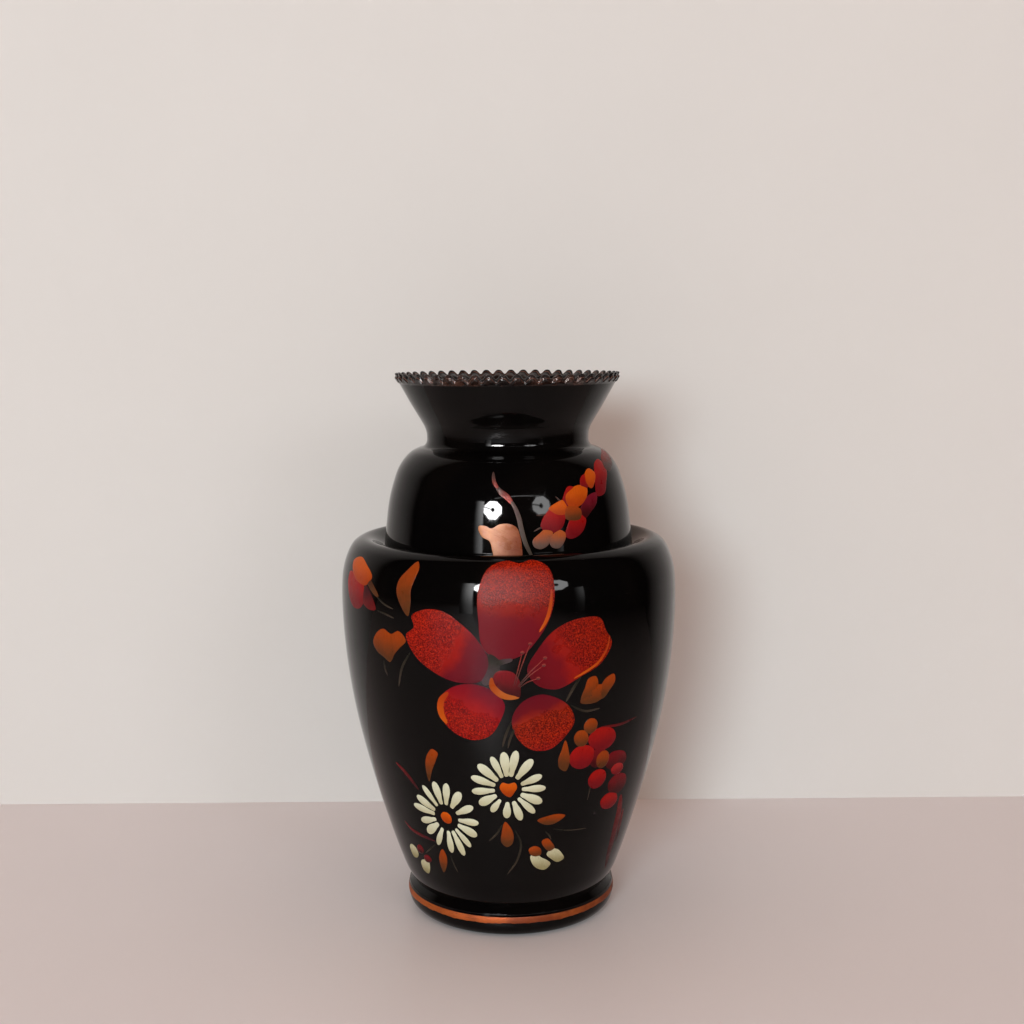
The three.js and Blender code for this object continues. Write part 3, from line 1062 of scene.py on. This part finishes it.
lightLook = {
    "middle": 0.2,           # metres above the table; bearings are taken from this place on the axis
    "lampTarget": 0.15,      # the height that the lamps look at
    "lampsAway": 2.2,        # metres from the vase
    "paintedReflectionsAway": 1.5,
    "ambient": (0.56, 0.39, 0.30),
    "room": (0.018, 0.016, 0.015),
    "backdrop": (0.66, 0.60, 0.57),
}


def towards(place, target):
    # Turns a light or a sheet so that its -Z looks from its place to the target.
    ahead = np.array(target) - np.array(place)
    ahead /= np.linalg.norm(ahead)
    right = np.cross(ahead, (0, 0, 1))
    right /= np.linalg.norm(right)
    up = np.cross(right, ahead)
    turn = Matrix(np.stack([right, up, -ahead], axis=1).tolist()).to_4x4()
    turn.translation = tuple(place)
    return turn


def bearingPlace(azimuth, elevation, distance):
    # A place seen from the vase at that azimuth, from -Y towards +X, and that elevation.
    a, e = math.radians(azimuth), math.radians(elevation)
    return (distance * math.sin(a) * math.cos(e), -distance * math.cos(a) * math.cos(e),
            lightLook["middle"] + distance * math.sin(e))


lamps = {
    # bearing is (azimuth, elevation) in degrees, as bearingPlace takes it
    "keyLamp": {"bearing": (-14.5, 11), "size": 0.66, "power": 27.5, "tint": (0.78, 0.96, 1.0)},
    "sideLamp": {"bearing": (31.5, 18), "size": 0.6, "power": 4.0, "tint": (0.9, 0.97, 1.0)},
}

# Painted reflections: glowing sheets, no lamps, seen only in gloss, for the studio's umbrellas, doorways
# and a shelf.
paintedReflections = {
    "keyUmbrellaReflection": {"bearing": (-14.4, 16.2), "halfSize": (0.21, 0.16), "glow": 190.0, "hub": 0.04},
    "sideUmbrellaReflection": {"bearing": (31.5, 18), "halfSize": (0.211, 0.164), "glow": 19.0, "hub": 0.042},
    "leftDoorwayReflection": {"bearing": (-27.4, 2), "halfSize": (0.115, 0.54), "glow": 22.0, "sides": 4,
                    "fade": True},
    "rightDoorwayReflection": {"bearing": (46, 1), "halfSize": (0.1, 0.3), "glow": 4.0, "sides": 4, "fade": True},
    "roomShelfReflection": {"bearing": (9.5, 26), "halfSize": (0.56, 0.005), "glow": 14.0, "sides": 4},
}


def addLamp(name, bearing, size, power, tint):
    lamp = bpy.data.lights.new(name, "AREA")
    lamp.shape = "DISK"
    lamp.size = size
    lamp.energy = power
    lamp.color = tint
    holder = bpy.data.objects.new(name, lamp)
    place = bearingPlace(*bearing, lightLook["lampsAway"])
    holder.matrix_world = towards(place, (0, 0, lightLook["lampTarget"]))
    holder.visible_glossy = False
    bpy.context.scene.collection.objects.link(holder)


def addPaintedReflection(name, bearing, halfSize, glow, sides=8, hub=0.0, fade=False):
    # Painted reflection: a glowing sheet, no lamp, only seen in the gloss, for a studio umbrella or a lit
    # doorway.
    # The hub is a dark spot at its middle, with a dark stem that runs out to one side: the umbrella's
    # shaft, painted in.
    halfWidth, halfHeight = halfSize
    turn = (np.arange(sides) + 0.5) * 2 * np.pi / sides
    grow = 1 / math.cos(math.pi / sides)
    corners = np.stack([halfWidth * np.cos(turn), halfHeight * np.sin(turn), 0 * turn], axis=1) * grow
    material = bpy.data.materials.new(name)
    material.use_nodes = True
    tree = material.node_tree
    tree.nodes.clear()
    place = objectPlace(tree)
    split = axes(tree, place)
    strength = glow
    if hub:
        length = addNode(tree, "ShaderNodeVectorMath", {0: place}, operation="LENGTH").outputs["Value"]
        spot = spread(tree, length, hub, hub * 1.2)
        above = calculate(tree, "ABSOLUTE", calculate(tree, "MULTIPLY_ADD", split["X"], 0.25, split["Y"]))
        stem = calculate(tree, "MAXIMUM", spread(tree, above, hub * 0.2, hub * 0.35),
                         calculate(tree, "GREATER_THAN", split["X"], 0.0))
        strength = times(tree, times(tree, spot, stem), glow)
    if fade:
        upwards = spread(tree, split["Y"], -halfHeight, halfHeight)
        sideways = spread(tree, split["X"], -halfWidth, halfWidth)
        strength = times(tree, times(tree, upwards, sideways), glow)
    shine = addNode(tree, "ShaderNodeEmission", {"Strength": strength})
    finish = addNode(tree, "ShaderNodeOutputMaterial", {"Surface": shine.outputs[0]})
    finish.is_active_output = True
    sheet = flatSheet(name, corners.tolist(), material)
    away = bearingPlace(*bearing, lightLook["paintedReflectionsAway"])
    sheet.matrix_world = towards(away, (0, 0, lightLook["middle"]))
    sheet.visible_camera = False
    sheet.visible_diffuse = False
    sheet.visible_shadow = False
    sheet.visible_transmission = False
    sheet.visible_volume_scatter = False


for lampName, lampValues in lamps.items():
    addLamp(lampName, **lampValues)
for reflectionName, reflectionValues in paintedReflections.items():
    addPaintedReflection(reflectionName, **reflectionValues)

world = bpy.data.worlds.new("studio")
bpy.context.scene.world = world
world.use_nodes = True
worldTree = world.node_tree
path = addNode(worldTree, "ShaderNodeLightPath", {})
dimOrAmbient = mixTones(worldTree, path.outputs["Is Glossy Ray"], (*lightLook["ambient"], 1),
                        (*lightLook["room"], 1))
seen = mixTones(worldTree, path.outputs["Is Camera Ray"], dimOrAmbient, (*lightLook["backdrop"], 1))
worldTree.links.new(seen, worldTree.nodes["Background"].inputs["Color"])
world.cycles.sampling_method = "NONE"

cameraLook = {
    "place": (0.0, -0.7198, 0.2968),
    "pitch": 7.05,           # degrees down
    "yaw": 0.155,            # degrees to the right
    "roll": 0.40,            # degrees; level lines rise to the right
    "lens": 49.22,
}


def addCamera():
    pitch, yaw, roll = (math.radians(cameraLook[key]) for key in ("pitch", "yaw", "roll"))
    right = np.array([math.cos(yaw), -math.sin(yaw), 0])
    ahead = np.array([math.sin(yaw) * math.cos(pitch), math.cos(yaw) * math.cos(pitch), -math.sin(pitch)])
    up = np.cross(right, ahead)
    leaned = math.cos(roll) * right - math.sin(roll) * up
    raised = math.sin(roll) * right + math.cos(roll) * up
    data = bpy.data.cameras.new("camera")
    data.lens = cameraLook["lens"]
    data.sensor_width = 36
    data.clip_start = 0.01
    holder = bpy.data.objects.new("camera", data)
    turn = Matrix(np.stack([leaned, raised, -ahead], axis=1).tolist()).to_4x4()
    turn.translation = cameraLook["place"]
    holder.matrix_world = turn
    bpy.context.scene.collection.objects.link(holder)
    bpy.context.scene.camera = holder


addCamera()
bpy.context.scene.view_settings.view_transform = "Standard"
print("stage, lights and camera set")
